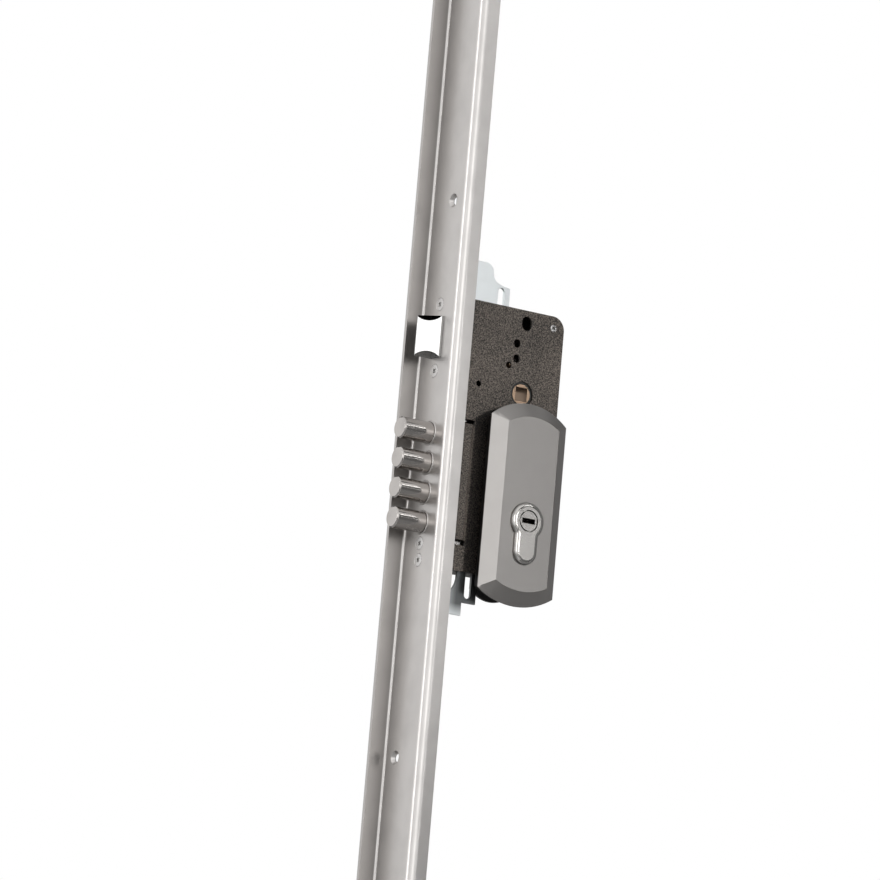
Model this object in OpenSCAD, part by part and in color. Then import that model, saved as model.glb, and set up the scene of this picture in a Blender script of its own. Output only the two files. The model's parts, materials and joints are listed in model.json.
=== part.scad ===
// Multipoint mortise door lock with a folded forend, four round deadbolts, a latch, two driven rods
// and a profile cylinder behind a security escutcheon. Millimetres.
// X = 0 is the front face of the forend and +X goes into the door. Y = 0 is the middle plane of the
// case and +Y goes to the inside of the door. Z = 0 is the cylinder axis and +Z is up.
// The rest position is the locked one: bolts, latch and rods are all thrown.

/* [Forend] */
// Thickness of the folded sheet
forend_t = 2.5; // [2:0.25:3]
// Middle plane to the outer face of the near flange
near_width = 21.1; // [18.4:0.1:24]
// Middle plane to the inner face of the far flange
far_width = 18.5; // [16:0.1:20]
// How far the near flange goes back from the front face
near_depth = 13; // [10:0.5:18]
// How far the far flange stands in front of the front face
far_rise = 12; // [8:0.5:16]
// Inner radius of the near bend
near_bend = 3; // [0.5:0.25:4]
// Inner radius of the far bend
far_bend = 1.75; // [0.5:0.25:3]
// Forend end above the cylinder axis
forend_top = 450; // [400:10:1100]
// Forend end below the cylinder axis
forend_bottom = 350; // [310:10:1000]

/* [Fixings] */
// Shank diameter of the forend fixing screws
fixing_d = 5; // [4:0.5:5.5]
// Head diameter of the countersunk forend fixing holes
fixing_head = 9; // [7:0.5:9.5]
// Height of the upper hole of the near row
near_row_top = 201.4; // [190:1:230]
// Height of the lower hole of the near row, below the axis
near_row_bottom = 290; // [285:1:300]
// Height of the upper hole of the far row
far_row_top = 350; // [300:1:360]
// Height of the lower hole of the far row, below the axis
far_row_bottom = 159; // [140:1:200]
// Offset of the near row from the middle plane
near_row_y = 5.4; // [5:0.2:8]
// Offset of the far row from the middle plane
far_row_y = 7.2; // [5.6:0.2:9]

/* [Case] */
// Forend front face to the cylinder axis
backset = 63; // [62.5:0.25:64]
// Cylinder axis to the back of the case
case_back = 28.6; // [26:0.2:34]
// Top of the latch to the top of the case
latch_cover = 14.8; // [14.5:0.1:15.5]
// Cylinder axis to the bottom of the case
case_bottom = 36.3; // [36:0.1:37]
// Outside thickness of the case
case_w = 16; // [16:0.25:18]
// Thickness of the case plates and rims
plate_t = 1.5; // [1.2:0.1:1.6]
// Thickness of the front wall of the case
front_t = 2; // [1.5:0.1:2.2]
// Outer radius of the two back corners
corner_r = 9; // [5:0.5:12]
// How far the pressed bulge over the bolts stands out
bulge_h = 2.5; // [2:0.1:4]
// Depth of the pressed bulge, from the forend front face
bulge_depth = 29; // [29:0.25:30]
// Height of the open slot at each end of the bulge
bulge_slot = 3.2; // [2:0.2:3.6]
// Diameter of the through hole for a handle screw
handle_hole_d = 7.4; // [6:0.1:8]
// Diameter of the case rivets
rivet_d = 2.5; // [2:0.25:3]

/* [Deadbolts] */
// Number of deadbolts
bolt_count = 4; // [4:1:4]
// Diameter of a deadbolt
bolt_d = 14; // [13:0.25:14.5]
// Distance from bolt to bolt
bolt_pitch = 19.3; // [18.5:0.1:19.6]
// Height of the middle of the bolt group
bolt_mid = 20.7; // [20.2:0.1:21.2]
// How far a thrown bolt stands out of the forend
bolt_out = 22.4; // [21:0.2:24]
// Length of the round head of a bolt inside the forend
bolt_seat = 6.9; // [6.2:0.1:7]
// Chamfer on the end of a bolt
bolt_chamfer = 0.8; // [0.4:0.1:1.5]
// Length of the flat bolt tail
tail_len = 7; // [6:0.2:7.4]
// Height of the flat bolt tail
tail_h = 8; // [6:0.5:8.5]
// Thickness of the flat bolt tail
tail_t = 3; // [2.4:0.1:3.1]

/* [Gear train] */
// Pitch of the teeth, along the pitch line
tooth_pitch = 4; // [3.96:0.02:4.04]
// Teeth of the cylinder cam
cam_teeth = 10; // [10:1:10]
// Teeth of the wheel
wheel_teeth = 32; // [32:1:32]
// Teeth of the pinion
pinion_teeth = 8; // [8:1:8]
// Turns of the key from locked to unlocked
key_turns = 2; // [2:1:2]
// Cylinder axis to the gear stud, along the case
stud_front = 12; // [11.6:0.1:12.4]
// Thickness of the wheel
wheel_t = 3; // [2.5:0.1:3.2]
// Diameter of the gear stud
stud_d = 5; // [4:0.25:5.5]
// Metal taken off each tooth for play
tooth_play = 0.2; // [0.15:0.05:0.3]

/* [Rods] */
// How far the rods and shoot bolts move
rod_travel = 12; // [10:0.5:12]
// Thickness of a link plate
link_t = 1.8; // [1.5:0.1:1.8]
// Thickness of the bolt carrier
carrier_t = 1.7; // [1.5:0.1:1.7]
// Diameter of the pins that drive the rods
drive_pin_d = 5; // [4:0.25:5]
// Width of the guide slots in the link plates
guide_slot = 4.8; // [4.4:0.1:4.8]
// Diameter of the rivets in the guide slots
guide_rivet_d = 4; // [3:0.1:4.2]
// Width of a rod
rod_w = 12; // [10:0.5:12]
// Thickness of a rod
rod_t = 4; // [3:0.25:4.5]
// Front of the forend to the middle of a rod
rod_x = 13; // [12.5:0.25:13.5]
// Diameter of a shoot bolt
shoot_d = 12; // [12:0.25:13]
// How far a thrown shoot bolt stands out of the forend end
shoot_out = 16; // [14:1:25]

/* [Latch] */
// Height of the latch head
latch_h = 26.5; // [25:0.25:27]
// Thickness of the latch head
latch_w = 12.6; // [12:0.1:12.8]
// Follower up to the middle of the latch
latch_rise = 26.95; // [26.5:0.05:27.5]
// How far the latch stands out of the forend
latch_out = 12.2; // [11:0.2:14]
// How far the short side of the slanted face stands out
latch_heel = 1.7; // [1:0.1:2.5]
// Depth of the scoops in the top and bottom of the head
latch_scoop = 3.3; // [2:0.1:4]
// Length of the head inside the forend
latch_seat = 14; // [12:0.5:14]
// Travel of the latch
latch_travel = 12; // [10:0.5:12]
// Height of the latch tail
latch_bar_h = 8; // [7:0.5:8.5]
// Thickness of the latch tail
latch_bar_t = 5; // [4:0.25:5]
// Turns of the latch spring
spring_turns = 6; // [5:1:7]
// Wire of the latch spring
spring_wire = 1.1; // [0.8:0.1:1.2]

/* [Follower] */
// Cylinder axis to the follower
follower_z = 85; // [85:0.1:85.4]
// Size of the square hole
square_w = 9; // [7:0.5:9]
// Diameter of the follower hub
hub_d = 13.4; // [13:0.1:14.6]
// Diameter of the follower holes in the case
follower_hole = 16.7; // [16:0.1:18]
// Diameter of the follower disc
disc_d = 22; // [20:0.25:22]

/* [Cylinder] */
// Diameter of the round part of the profile
profile_d = 17; // [17:0.1:17.2]
// Width of the foot of the profile
profile_w = 10; // [9.8:0.1:10.2]
// Height of the whole profile
profile_h = 33; // [32.6:0.1:33.4]
// Middle plane to the outer face of the plug
plug_front = 28.6; // [28:0.1:31]
// Middle plane to the inner face of the cylinder
plug_back = 28.6; // [26:0.1:35]
// Diameter of the plug inside the cylinder
plug_d = 13; // [12:0.1:13]
// Diameter of the plug face
plug_face_d = 12.6; // [12:0.1:13]
// Width of the key slot
key_w = 9.8; // [7:0.1:10]
// Height of the key slot
key_h = 3.2; // [2:0.1:3.4]
// Width of the gap for the cam
cam_gap = 9.6; // [9.4:0.1:10]
// Height of the cylinder screw, below the axis
screw_drop = 21.9; // [21.6:0.1:22.1]
// Diameter of the cylinder screw and the case screws
screw_d = 5; // [4:0.25:5]

/* [Escutcheon] */
// Width of the escutcheon
esc_w = 57.8; // [54:0.2:62]
// Top of the straight sides
esc_side_top = 66.4; // [60:0.2:70]
// Bottom of the straight sides, below the axis
esc_side_bottom = 45.8; // [44:0.2:50]
// Rise of the arched top
esc_rise = 10.8; // [8:0.2:12]
// Drop of the arched bottom
esc_drop = 8.8; // [7:0.2:12]
// Case cover to the back of the escutcheon
esc_gap = 10.5; // [8:0.5:12]
// Depth of the straight rim
esc_rim = 0.8; // [0.6:0.1:5]
// Depth of the broad chamfer
esc_chamfer_h = 6.4; // [4:0.2:7]
// Width of the broad chamfer
esc_chamfer_w = 9.3; // [6:0.1:11]
// Wall of the escutcheon shell
esc_wall = 2.2; // [1.5:0.1:3]
// Thickness of the backing plate
backing_t = 6; // [2:0.5:7]
// Width of the metal that the protector has round the profile
protector_rim = 3.6; // [2.5:0.1:4.5]
// Width of the sloping edge of the protector
protector_slope = 4.2; // [3:0.1:4.6]
// Height of the sloping edge of the protector
protector_slope_h = 2.4; // [1.5:0.1:2.6]
// Gap between the plug face and the protector
plug_ring = 0.8; // [0.4:0.1:1]
// Width of the clamp plate on the far side of the case
clamp_w = 32; // [30:0.5:36]
// Thickness of the clamp plate
clamp_t = 2.3; // [1.5:0.1:3]
// Radius of the arched ends of the clamp plate
clamp_arch = 22.5; // [20:0.5:26]
// Height of the upper escutcheon screw
post_top = 47; // [46.6:0.1:47.4]
// Height of the lower escutcheon screw, below the axis
post_bottom = 43.4; // [43:0.1:44]

/* [Hidden] */
$fn = 48;
eps = 0.01;
// Running gap on radius, sliding gap, and gap between stacked plates
run_gap = 0.06;
slide_gap = 0.15;
layer_gap = 0.1;

latch_mid = follower_z + latch_rise;
latch_low = latch_mid - latch_h / 2;
case_top = latch_low + latch_h + latch_cover;
half_w = case_w / 2;
inside = half_w - plate_t;
case_x = forend_t;
front_in = case_x + front_t;
back_x = backset + case_back;
far_out = far_width + forend_t;
gap_w = case_w + 2 * bulge_h;

// Layers inside the case, from the cover to the far plate
link_lo = -inside + layer_gap;
link_hi = link_lo + link_t;
carrier_lo = link_hi + layer_gap;
carrier_hi = carrier_lo + carrier_t;
tail_hi = carrier_hi + tail_t;
wheel_lo = tail_hi + 4 * layer_gap;
wheel_hi = wheel_lo + wheel_t;
disc_lo = carrier_hi + 3 * layer_gap;
disc_hi = disc_lo + 6;

// Gear train: pitch radii, place of the stud and the throw that it gives
cam_rp = cam_teeth * tooth_pitch / (2 * PI);
wheel_rp = wheel_teeth * tooth_pitch / (2 * PI);
pinion_rp = pinion_teeth * tooth_pitch / (2 * PI);
addendum = 0.9 * tooth_pitch / PI;
dedendum = 1.2 * tooth_pitch / PI;
pressure = 20;
stud_x = backset - stud_front;
stud_z = sqrt(pow(cam_rp + wheel_rp, 2) - pow(stud_front, 2));
stud_angle = atan2(stud_z, -stud_front);
rack_z = stud_z + pinion_rp;
bolt_throw = key_turns * cam_teeth / wheel_teeth * pinion_teeth * tooth_pitch;

bolt_low = bolt_mid - (bolt_count - 1) / 2 * bolt_pitch;
bolt_zs = [for (i = [0 : bolt_count - 1]) bolt_low + i * bolt_pitch];
bolt_r = bolt_d / 2;
tail_x = bolt_seat + tail_len;
bulge_top = bolt_mid + 37.9;
bulge_low = bolt_mid - 37.3;
bulge_slope = 3.4;

// Slots of the carrier that drive the link plates, at their locked ends
drive_r = drive_pin_d / 2;
up_pin = [43.5, 69];
low_pin = [30.5, -25.5];
slot_edge = drive_r + slide_gap + 1.2;
rack_top = rack_z + 11;
carrier_back = stud_x + 5;
carrier_spine = 17;
guide_pin = [carrier_back - 10.5, rack_top - 4.4];
guide_pin_r = 2;

// Link plates
guide_x_up = 41.9;
guide_x_low = 35.2;
guide_z_up = case_top - 2.6;
guide_z_low = -case_bottom + 3.3;
slot_r = guide_slot / 2;
link_left = rod_x - rod_w / 2 - 1;
up_right = guide_x_up + slot_r + 4.2;
up_top = case_top + 26;
up_slot_top = case_top + 11.4;
low_right = guide_x_low + slot_r + 4.2;
low_bottom = -case_bottom - 27.9;
low_step = -case_bottom - 19.4;
low_slot_bottom = -case_bottom - 16.5;
low_notch = guide_x_low - 13;

// Rods start clear of the case when they are drawn in
rod_start_up = case_top + rod_travel + 1.5;
rod_start_low = -case_bottom - rod_travel - 1.5;
rod_end = 32;
end_guide_h = 24;
guide_zs = [180, forend_top - 70, -110, -forend_bottom + 70];

// Latch and follower
latch_hw = latch_w / 2;
scoop_r = (pow(latch_hw, 2) + pow(latch_scoop, 2)) / (2 * latch_scoop);
bar_low = latch_mid - latch_bar_h / 2;
arm_tip = 2;
arm_gap = 0.95;
arm_r = latch_rise - latch_bar_h / 2 - arm_tip - arm_gap;
arm_swing = latch_travel / arm_r * 180 / PI;
arm_x = backset - arm_r * sin(arm_swing / 2);
arm_z = follower_z + arm_r * cos(arm_swing / 2);
lug_x = arm_x + arm_tip + 2 * slide_gap;
guide_plate_x = 35;
guide_plate_t = 2;
spring_r = inside - spring_wire / 2 - 0.3;

// Profile of the cylinder
head_r = profile_d / 2;
foot_r = profile_w / 2;
foot_z = head_r - profile_h + foot_r;
profile_gap = 0.25;
body_front = plug_front - 2;
plug_r = plug_d / 2;
web_top = cam_rp + addendum + 0.8;

// Escutcheon
esc_hw = esc_w / 2;
esc_back = -half_w - esc_gap;
esc_rim_y = esc_back - esc_rim;
esc_face = esc_rim_y - esc_chamfer_h;
function arch_r(rise) = (pow(esc_hw, 2) + pow(rise, 2)) / (2 * rise);
// Centre height and radius of the two arched ends
arches = [[esc_side_top + esc_rise - arch_r(esc_rise), arch_r(esc_rise)],
          [-esc_side_bottom - esc_drop + arch_r(esc_drop), arch_r(esc_drop)]];
post_r = 4;
post_hole = 3.3;
clamp_top = post_top + 12;
clamp_low = -post_bottom - 6.2;

// Screws
screw_r = screw_d / 2;
head_h = 2;
screw_clear = 8.5;
thread_len = 4;
far = 400;
screw_head_r = 4.4;
case_screw_zs = [latch_low + latch_h + screw_clear, latch_low - screw_clear, -case_bottom + 3.7];
case_rivets_at = [[back_x - 8.3, case_top - 7.9], [back_x - 8.3, 52],
                  [back_x - 8.3, -case_bottom + 8], [18, 80]];
pillar_r = 3;

near_row = [near_row_top, -near_row_bottom];
far_row = [far_row_top, -far_row_bottom];

// Extrudes an X-Z drawing from y0 to y1
module along_y(y0, y1) {
    translate([0, y1, 0]) rotate([90, 0, 0]) linear_extrude(y1 - y0) children();
}

// Extrudes a Y-Z drawing from x0 to x1
module along_x(x0, x1) {
    translate([x0, 0, 0]) rotate([90, 0, 90]) linear_extrude(x1 - x0) children();
}

module rod_along_y(x, z, r, y0, y1) {
    translate([x, y1, z]) rotate([90, 0, 0]) cylinder(r = r, h = y1 - y0);
}

module rod_along_x(y, z, r, x0, x1) {
    translate([x0, y, z]) rotate([0, 90, 0]) cylinder(r = r, h = x1 - x0);
}

module box(lo, hi) {
    translate(lo) cube([hi[0] - lo[0], hi[1] - lo[1], hi[2] - lo[2]]);
}

// Rectangle from corner to corner
module rect(lo, hi) {
    translate(lo) square([hi[0] - lo[0], hi[1] - lo[1]]);
}

// Slot with round ends between two points of a drawing
module slot_2d(a, b, r) {
    run = norm(b - a);
    translate(a) rotate(atan2(b[1] - a[1], b[0] - a[0])) {
        circle(r = r);
        translate([run, 0]) circle(r = r);
        translate([0, -r]) square([run, 2 * r]);
    }
}

// Countersunk screw along +X with its head flush at x0
module countersunk(y, z, r, head_r, x0, len) {
    translate([x0, y, z]) rotate([0, 90, 0]) {
        cylinder(r = r, h = len);
        cylinder(r1 = head_r, r2 = r, h = head_h);
    }
}

// Sheet bend: a quarter ring of inner radius r and sheet thickness t, in the +X +Y quarter
module bend_2d(r, t) {
    intersection() {
        difference() {
            circle(r = r + t);
            circle(r = r);
        }
        square(r + t + 1);
    }
}

// Folded section of the forend, as an X-Y drawing
module forend_section() {
    turn_near = near_bend + forend_t;
    rect([0, -near_width + turn_near], [forend_t, far_out - far_bend - forend_t]);
    rect([turn_near, -near_width], [near_depth, -near_width + forend_t]);
    translate([turn_near, -near_width + turn_near]) rotate(180) bend_2d(near_bend, forend_t);
    translate([-far_bend, far_width - far_bend]) bend_2d(far_bend, forend_t);
    rect([-far_rise, far_width], [-far_bend, far_out]);
}

module forend() {
    color([0.66, 0.65, 0.64]) difference() {
        translate([0, 0, -forend_bottom]) linear_extrude(forend_top + forend_bottom) forend_section();
        for (z = bolt_zs) rod_along_x(0, z, bolt_r + run_gap, -1, forend_t + 1);
        box([-1, -latch_hw - slide_gap, latch_low - slide_gap],
            [forend_t + 1, latch_hw + slide_gap, latch_low + latch_h + slide_gap]);
        for (z = concat(case_screw_zs, [-screw_drop]))
            countersunk(0, z, screw_r, screw_head_r, 0, forend_t + 1);
        for (z = near_row) countersunk(-near_row_y, z, fixing_d / 2, fixing_head / 2, 0, forend_t + 1);
        for (z = far_row) countersunk(far_row_y, z, fixing_d / 2, fixing_head / 2, 0, forend_t + 1);
        for (z = [forend_top - end_guide_h / 2, -forend_bottom + end_guide_h / 2], s = [-1, 1])
            countersunk(s * end_screw_y(), z, 2, 3.6, 0, forend_t + 1);
    }
}

function end_screw_y() = shoot_d / 2 + 5;

// Countersunk screw in the forend at height z, with a cross for the driver
module web_screw(z, len) {
    difference() {
        countersunk(0, z, screw_r, screw_head_r - 0.2, 0, len);
        for (turn = [45, 135]) translate([0, 0, z]) rotate([turn, 0, 0])
            box([-1, -1.7, -0.55], [1.3, 1.7, 0.55]);
    }
}

module forend_screws() {
    color([0.75, 0.74, 0.72]) for (z = case_screw_zs) web_screw(z, forend_t + front_t + thread_len);
}

module cylinder_screw() {
    color([0.75, 0.74, 0.72]) web_screw(-screw_drop, backset + foot_r);
}

// Case outline as an X-Z drawing, with two round corners at the back
module case_2d(x0, inset) {
    r = max(corner_r - inset, 0.5);
    x1 = back_x - inset;
    z0 = -case_bottom + inset;
    z1 = case_top - inset;
    rect([x0, z0], [x1 - r, z1]);
    rect([x0, z0 + r], [x1, z1 - r]);
    for (z = [z0 + r, z1 - r]) translate([x1 - r, z]) circle(r = r);
}

// Profile of the cylinder as an X-Z drawing, grown all round
module profile_2d(grow) {
    translate([backset, 0]) {
        circle(r = head_r + grow);
        rect([-foot_r - grow, foot_z], [foot_r + grow, 0]);
        translate([0, foot_z]) circle(r = foot_r + grow);
    }
}

// Section of the pressed bulge on the near side, as an X-Y drawing
module bulge_section(x0) {
    top = half_w + bulge_h;
    corner = bulge_depth - bulge_slope;
    polygon([[x0, -top], [corner, -top], [bulge_depth, -half_w], [bulge_depth + 0.6, -half_w],
             [bulge_depth + 0.6, -inside], [bulge_depth - 0.5, -inside], [corner - 0.5, plate_t - top],
             [x0, plate_t - top]]);
}

module bulge(x0) {
    translate([0, 0, bulge_low]) linear_extrude(bulge_top - bulge_low) bulge_section(x0);
}

module bulge_window(y0, y1) {
    box([front_in - 1, y0, bulge_low - bulge_slot], [bulge_depth, y1, bulge_top + bulge_slot]);
}

// Holes that both case plates share, as an X-Z drawing
module plate_holes() {
    profile_2d(profile_gap);
    translate([backset, follower_z]) circle(r = follower_hole / 2);
    translate([backset, post_top]) circle(r = post_hole);
    for (p = case_rivets_at) translate(p) circle(r = rivet_d / 2);
}

module handle_hole(slack) {
    at = [backset - 0.5, case_top - screw_clear];
    slot_2d(at - [0, slack], at + [0, slack + eps], handle_hole_d / 2);
}

module case_body() {
    color([0.2, 0.18, 0.17]) difference() {
        union() {
            difference() {
                along_y(inside, half_w) case_2d(front_in, 0);
                bulge_window(inside - 1, half_w + 1);
            }
            along_y(-inside, inside + eps) difference() {
                case_2d(front_in - eps, 0);
                case_2d(front_in - 1, plate_t);
            }
            box([case_x, -half_w, -case_bottom], [front_in, half_w, case_top]);
            box([case_x, -gap_w / 2, bulge_low], [front_in, gap_w / 2, bulge_top]);
            mirror([0, 1, 0]) bulge(front_in - eps);
            for (p = case_rivets_at) rod_along_y(p[0], p[1], pillar_r, -inside, inside + eps);
            rod_along_y(stud_x, stud_z, 4, wheel_hi + layer_gap, inside + eps);
        }
        along_y(inside - 1, half_w + 1) {
            plate_holes();
            translate([backset - 0.5, case_top - screw_clear]) circle(r = handle_hole_d / 2);
        }
        for (p = case_rivets_at) rod_along_y(p[0], p[1], rivet_d / 2, -inside - 1, half_w + 1);
        rod_along_y(stud_x, stud_z, stud_d / 2, 0, half_w + 1);
        for (z = bolt_zs) rod_along_x(0, z, bolt_r + run_gap, case_x - 1, front_in + 1);
        box([case_x - 1, -latch_hw - slide_gap, latch_low - slide_gap],
            [front_in + 1, latch_hw + slide_gap, latch_low + latch_h + slide_gap]);
        for (z = concat(case_screw_zs, [-screw_drop]))
            rod_along_x(0, z, screw_r, case_x - 1, front_in + thread_len + 1);
        box([front_in, -inside - 1, case_top - plate_t - 1],
            [up_right + slide_gap, link_hi + layer_gap / 2, case_top + 1]);
        box([low_notch, -inside - 1, -case_bottom - 1],
            [low_right + slide_gap, link_hi + layer_gap / 2, -case_bottom + plate_t + 1]);
    }
}

module case_cover() {
    color([0.2, 0.18, 0.17]) difference() {
        union() {
            difference() {
                along_y(-half_w, -inside) case_2d(front_in, 0);
                bulge_window(-half_w - 1, 1 - inside);
            }
            bulge(front_in);
        }
        along_y(-half_w - 1, 1 - inside) {
            plate_holes();
            handle_hole(1);
            slot_2d([backset - 6.7, case_top - 23], [backset - 6.7, case_top - 22.2], 2.4);
            slot_2d([backset - 6.3, case_top - 33], [backset - 6.3, case_top - 32.2], 2.4);
            translate([backset - 11.9, case_top - 37.7]) circle(r = 2.1);
            translate([29.4, 86.3]) circle(r = 1.9);
            translate(guide_pin) circle(r = guide_pin_r);
        }
        rod_along_y(backset - 17.9, guide_z_up, 1.7, -half_w - 1, 0.7 - half_w);
    }
}

// Tubular rivets with a rolled head on both plates
module case_rivets() {
    color([0.6, 0.59, 0.57]) for (p = case_rivets_at) difference() {
        union() {
            rod_along_y(p[0], p[1], rivet_d / 2, -half_w, half_w);
            for (s = [-1, 1]) translate([p[0], s * half_w, p[1]]) rotate([s * -90, 0, 0])
                cylinder(r1 = rivet_d, r2 = rivet_d - 0.5, h = 0.6);
        }
        rod_along_y(p[0], p[1], rivet_d / 2 - 0.3, -half_w - 1, 3 - half_w);
    }
}

module deadbolt(z) {
    color([0.78, 0.77, 0.75]) difference() {
        union() {
            translate([-bolt_out, 0, z]) rotate([0, 90, 0])
                cylinder(r1 = bolt_r - bolt_chamfer, r2 = bolt_r, h = bolt_chamfer);
            rod_along_x(0, z, bolt_r, bolt_chamfer - bolt_out, bolt_seat);
            box([bolt_seat - 1, carrier_hi, z - tail_h / 2], [tail_x, tail_hi, z + tail_h / 2]);
        }
        rod_along_y(tail_x - 3.5, z, 1.5, carrier_lo - 1, tail_hi + 1);
    }
}

// Involute helpers: angle of a tooth flank at radius r for a gear of pitch radius rp
function involute(a) = tan(a) * 180 / PI - a;
function flank(rp, r) =
    let (rb = rp * cos(pressure), a = r <= rb ? 0 : acos(rb / r))
    (tooth_pitch / 2 - tooth_play) / (2 * rp) * 180 / PI + involute(pressure) - involute(a);

// Radii at which a tooth flank is drawn, from root to tip
function flank_radii(rp) =
    let (rb = rp * cos(pressure), root = rp - dedendum, tip = rp + addendum, base = max(root, rb))
    concat(root < rb ? [root] : [], [for (i = [0 : 4]) base + (tip - base) * i / 4]);

module gear_2d(teeth, start) {
    rp = teeth * tooth_pitch / (2 * PI);
    radii = flank_radii(rp);
    last = len(radii) - 1;
    polygon([for (k = [0 : teeth - 1], j = [0 : 2 * last + 1])
        let (up = j <= last, r = radii[up ? j : 2 * last + 1 - j], side = up ? -1 : 1)
        let (a = start + k * 360 / teeth + side * flank(rp, r))
        [r * cos(a), r * sin(a)]]);
}

// Rack teeth that point down from a pitch line at z = 0, for tooth numbers from a to b
module rack_2d(a, b) {
    half = (tooth_pitch / 2 - tooth_play) / 2;
    out = addendum * tan(pressure);
    deep = dedendum * tan(pressure);
    for (k = [a : b]) translate([k * tooth_pitch, 0])
        polygon([[-half - deep, dedendum], [-half + out, -addendum], [half - out, -addendum],
                 [half + deep, dedendum]]);
}

module bolt_carrier() {
    first = -ceil((bolt_throw + 4) / tooth_pitch);
    color([0.62, 0.6, 0.56]) along_y(carrier_lo, carrier_hi) difference() {
        union() {
            rect([bolt_seat + 0.2, low_pin[1]], [carrier_spine, up_pin[1]]);
            rect([bolt_seat + 0.2, rack_z + dedendum - eps], [carrier_back, rack_top]);
            translate([stud_x + tooth_pitch / 2, rack_z]) rack_2d(first, 0);
            translate(up_pin) circle(r = slot_edge);
            rect([carrier_spine - 1, up_pin[1] - rod_travel - slot_edge], [up_pin[0], up_pin[1] + slot_edge]);
            rect([bolt_seat + 0.2, up_pin[1] - 1], [up_pin[0] - bolt_throw, up_pin[1] + slot_edge]);
            rect([bolt_seat + 0.2, low_pin[1] - slot_edge], [low_pin[0], low_pin[1] + rod_travel + slot_edge]);
            translate(low_pin) circle(r = slot_edge);
        }
        for (z = bolt_zs) translate([tail_x - 3.5, z]) circle(r = 1.5);
        slot_2d(up_pin, up_pin - [bolt_throw, rod_travel], drive_r + slide_gap);
        slot_2d(low_pin, low_pin - [bolt_throw, -rod_travel], drive_r + slide_gap);
        slot_2d(guide_pin, guide_pin - [bolt_throw, 0], guide_pin_r + slide_gap);
    }
}

module carrier_rivets() {
    color([0.7, 0.68, 0.65]) for (z = bolt_zs) rod_along_y(tail_x - 3.5, z, 1.5, carrier_lo, tail_hi);
}

module carrier_guide_pin() {
    color([0.6, 0.6, 0.6]) {
        rod_along_y(guide_pin[0], guide_pin[1], guide_pin_r, -half_w, carrier_hi);
        rod_along_y(guide_pin[0], guide_pin[1], guide_pin_r + 1.2, -inside, link_hi);
    }
}

module latch_head() {
    color([0.9, 0.9, 0.9]) difference() {
        translate([0, 0, latch_low]) linear_extrude(latch_h)
            polygon([[latch_seat, -latch_hw], [latch_seat, latch_hw], [-latch_out, latch_hw],
                     [-latch_out, latch_hw - 0.8], [-latch_heel, -latch_hw]]);
        for (s = [-1, 1])
            rod_along_x(0, latch_mid + s * (latch_h / 2 + scoop_r - latch_scoop), scoop_r,
                        -latch_out - 1, 0);
        box([latch_seat - 4, -latch_bar_t / 2, bar_low], [latch_seat + 1, latch_bar_t / 2, bar_low + latch_bar_h]);
    }
}

module latch_tail() {
    color([0.7, 0.69, 0.67]) {
        box([latch_seat - 4, -latch_bar_t / 2, bar_low], [lug_x + 3, latch_bar_t / 2, bar_low + latch_bar_h]);
        box([lug_x, -latch_bar_t / 2, arm_z + 0.2], [lug_x + 3, latch_bar_t / 2, bar_low + 1]);
    }
}

// Rings of a coil round the latch tail, each a ring of points round the wire
spring_steps = 12;
spring_sides = 6;
spring_from = latch_seat + spring_wire / 2 + 0.3;
spring_to = guide_plate_x - spring_wire / 2 - 0.3;
function spring_point(i, j) =
    let (a = i * 360 / spring_steps, w = j * 360 / spring_sides)
    let (r = spring_r + spring_wire / 2 * cos(w))
    [spring_from + (spring_to - spring_from) * i / (spring_turns * spring_steps) + spring_wire / 2 * sin(w),
     r * cos(a), latch_mid + r * sin(a)];

module latch_spring() {
    rings = spring_turns * spring_steps;
    side = spring_sides;
    color([0.6, 0.6, 0.6]) polyhedron(
        points = [for (i = [0 : rings], j = [0 : side - 1]) spring_point(i, j)],
        faces = concat(
            [for (i = [0 : rings - 1], j = [0 : side - 1])
                [i * side + j, i * side + (j + 1) % side, (i + 1) * side + (j + 1) % side]],
            [for (i = [0 : rings - 1], j = [0 : side - 1])
                [i * side + j, (i + 1) * side + (j + 1) % side, (i + 1) * side + j]],
            [[for (j = [side - 1 : -1 : 0]) j]],
            [[for (j = [0 : side - 1]) rings * side + j]]));
}

module latch_guide() {
    color([0.55, 0.55, 0.54]) difference() {
        union() {
            box([guide_plate_x, -inside + layer_gap, latch_mid - 10],
                [guide_plate_x + guide_plate_t, inside, latch_mid + 10]);
            box([guide_plate_x, inside - 1.5, latch_mid - 10], [guide_plate_x + 12, inside, latch_mid + 10]);
        }
        box([guide_plate_x - 1, -latch_bar_t / 2 - slide_gap, bar_low - slide_gap],
            [guide_plate_x + guide_plate_t + 1, latch_bar_t / 2 + slide_gap, bar_low + latch_bar_h + slide_gap]);
    }
}

module follower() {
    color([0.72, 0.58, 0.45]) difference() {
        union() {
            rod_along_y(backset, follower_z, hub_d / 2, 0.8 - half_w, half_w - 0.8);
            rod_along_y(backset, follower_z, disc_d / 2, disc_lo, disc_hi);
            along_y(disc_lo, disc_hi) {
                translate([arm_x, arm_z]) circle(r = arm_tip);
                translate([backset, follower_z]) rotate(arm_swing / 2)
                    polygon([[-3.5, 0], [3.5, 0], [arm_tip, arm_r], [-arm_tip, arm_r]]);
            }
        }
        translate([backset, 0, follower_z]) cube([square_w, 2 * case_w, square_w], center = true);
    }
}

module follower_bushes() {
    color([0.08, 0.08, 0.08]) for (y = [-half_w + 1, inside]) difference() {
        rod_along_y(backset, follower_z, follower_hole / 2, y, y + plate_t - 1);
        rod_along_y(backset, follower_z, hub_d / 2 + run_gap, y - 1, y + plate_t);
    }
}

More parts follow.
